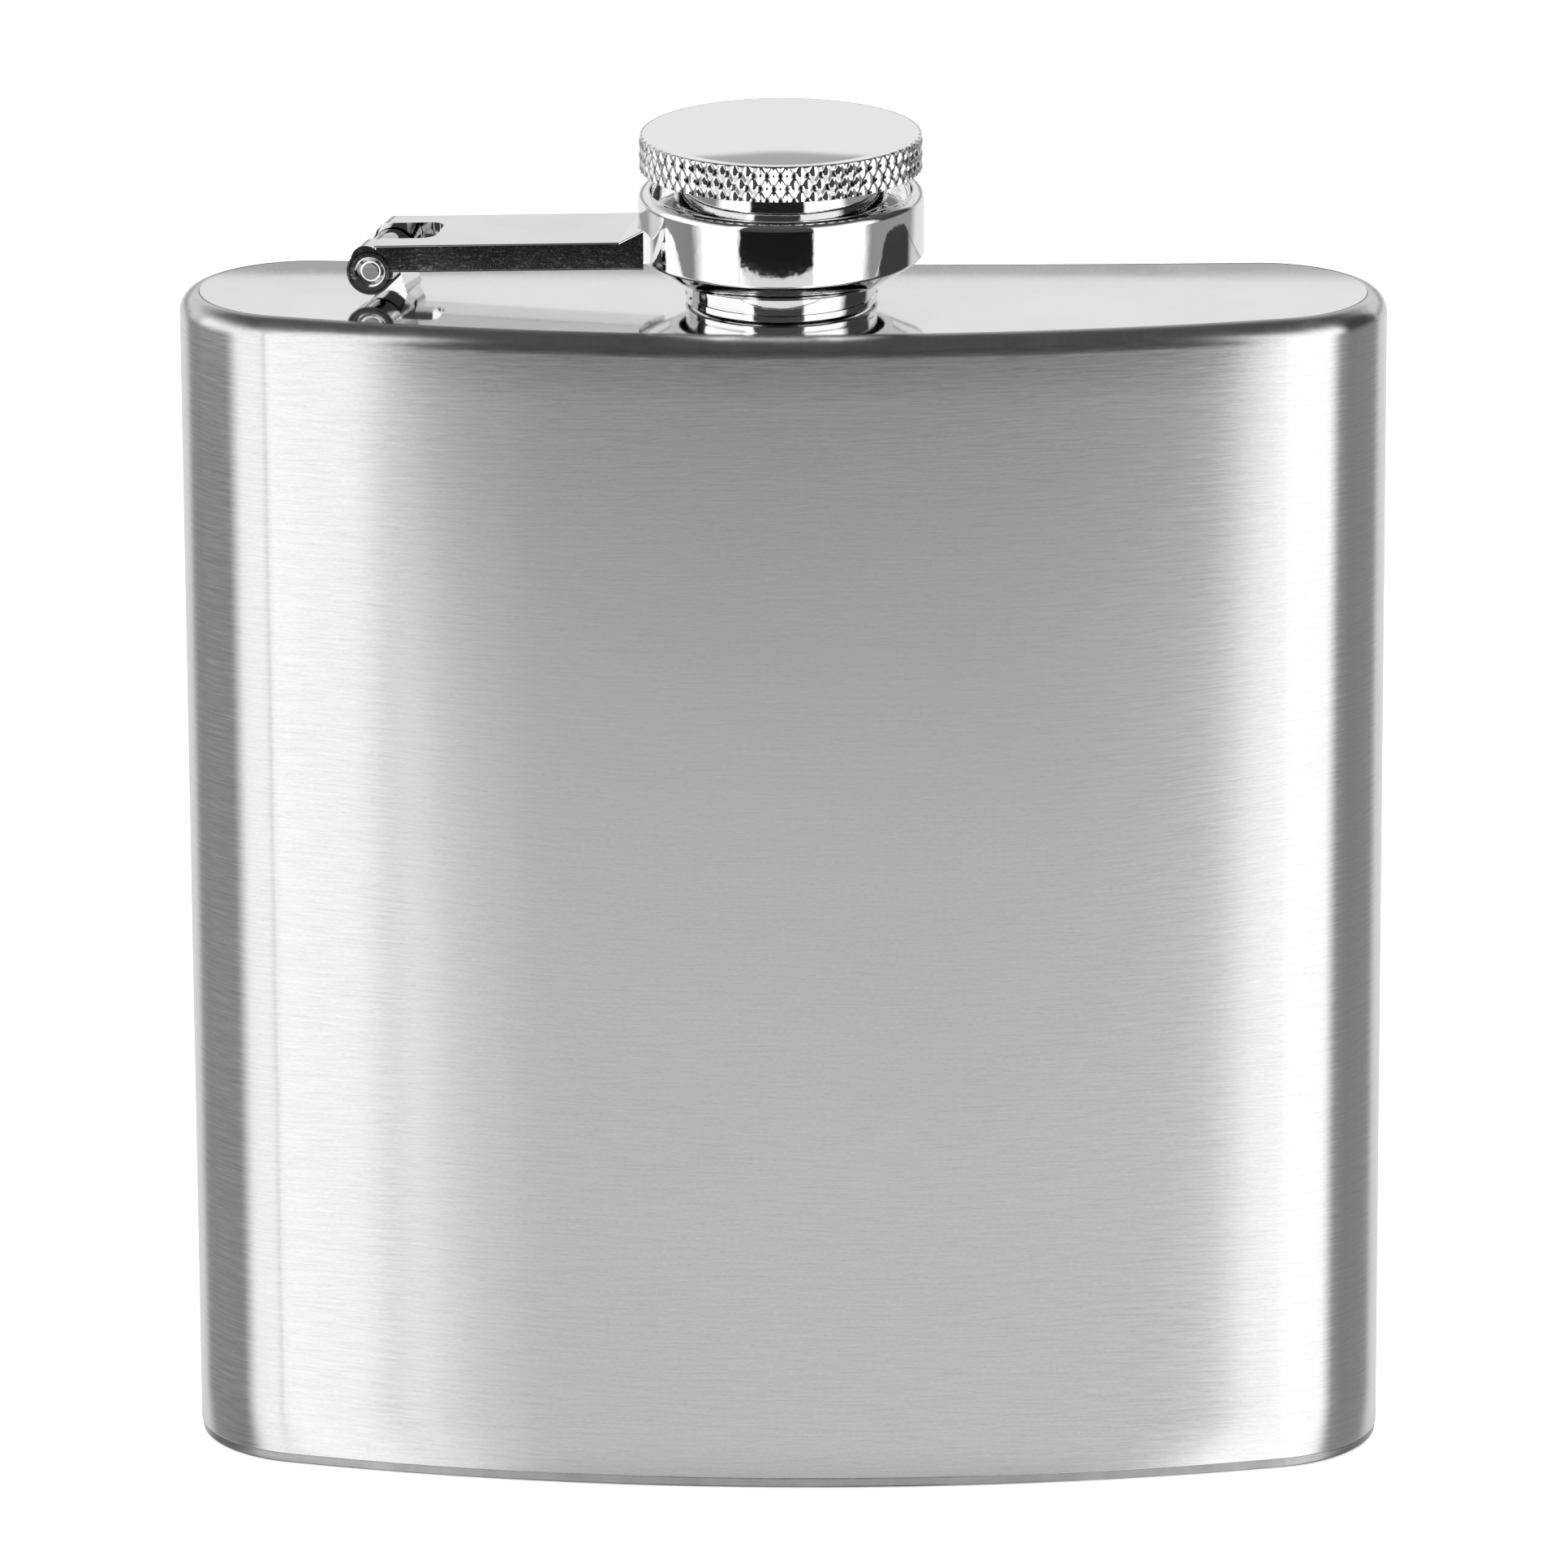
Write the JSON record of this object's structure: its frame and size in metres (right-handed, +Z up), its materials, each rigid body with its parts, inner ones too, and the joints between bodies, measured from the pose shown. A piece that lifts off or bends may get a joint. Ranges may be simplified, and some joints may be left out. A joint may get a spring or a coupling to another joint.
{
  "type": "hip flask",
  "caption": "Slim curved metal hip flask with a knurled screw cap held captive in a ring on a hinged arm.",
  "frame": {"origin": "centre of the base, under the neck's axis", "axes": "+Z up along the neck's axis, -Y out of the rounded front face, -X towards the hinge end of the top plate"},
  "size_m": [0.095, 0.0249, 0.1086],
  "materials": {
    "brushed_steel": "fine horizontal brushing",
    "polished_plate": "mirror polish with fine scratches",
    "polished_ring": "mirror polish",
    "polished_arm": "polish over fine grinding marks",
    "knurled_cap": "polished top, diamond knurled rim",
    "neck_steel": "turned and lightly polished",
    "gasket_rubber": "smooth matt"
  },
  "bodies": {
    "flask": {"body_wall": "brushed_steel", "bottom_plate": "brushed_steel", "top_plate": "polished_plate", "neck": "neck_steel", "hinge_bracket": "polished_arm"},
    "arm": {"hinge_arm": "polished_arm", "hinge_pin": "polished_arm", "captive_ring": "polished_ring"},
    "seal": {"cap_gasket": "gasket_rubber"},
    "cap": {"cap_head": "knurled_cap", "cap_stem": "neck_steel", "retaining_sleeve": "polished_ring"}
  },
  "joints": [
    {"name": "arm_hinge", "type": "hinge", "parent": "flask", "child": "arm", "pos_m": [-0.03125, 0.0042, 0.09735], "axis": [-0.2079, -0.9781, 0], "range_deg": [0, 175]},
    {"name": "cap_lift", "type": "slide", "parent": "arm", "child": "seal", "axis": [0, 0, 1], "range_m": [0, 0.00225]},
    {"name": "cap_spin", "type": "hinge", "parent": "seal", "child": "cap", "pos_m": [0, 0, 0.1], "axis": [0, 0, 1], "range_deg": [0, 540]}
  ],
  "couplings": [
    {"joint": "cap_lift", "follows": "cap_spin", "m_per_rad": 0.00023873}
  ]
}
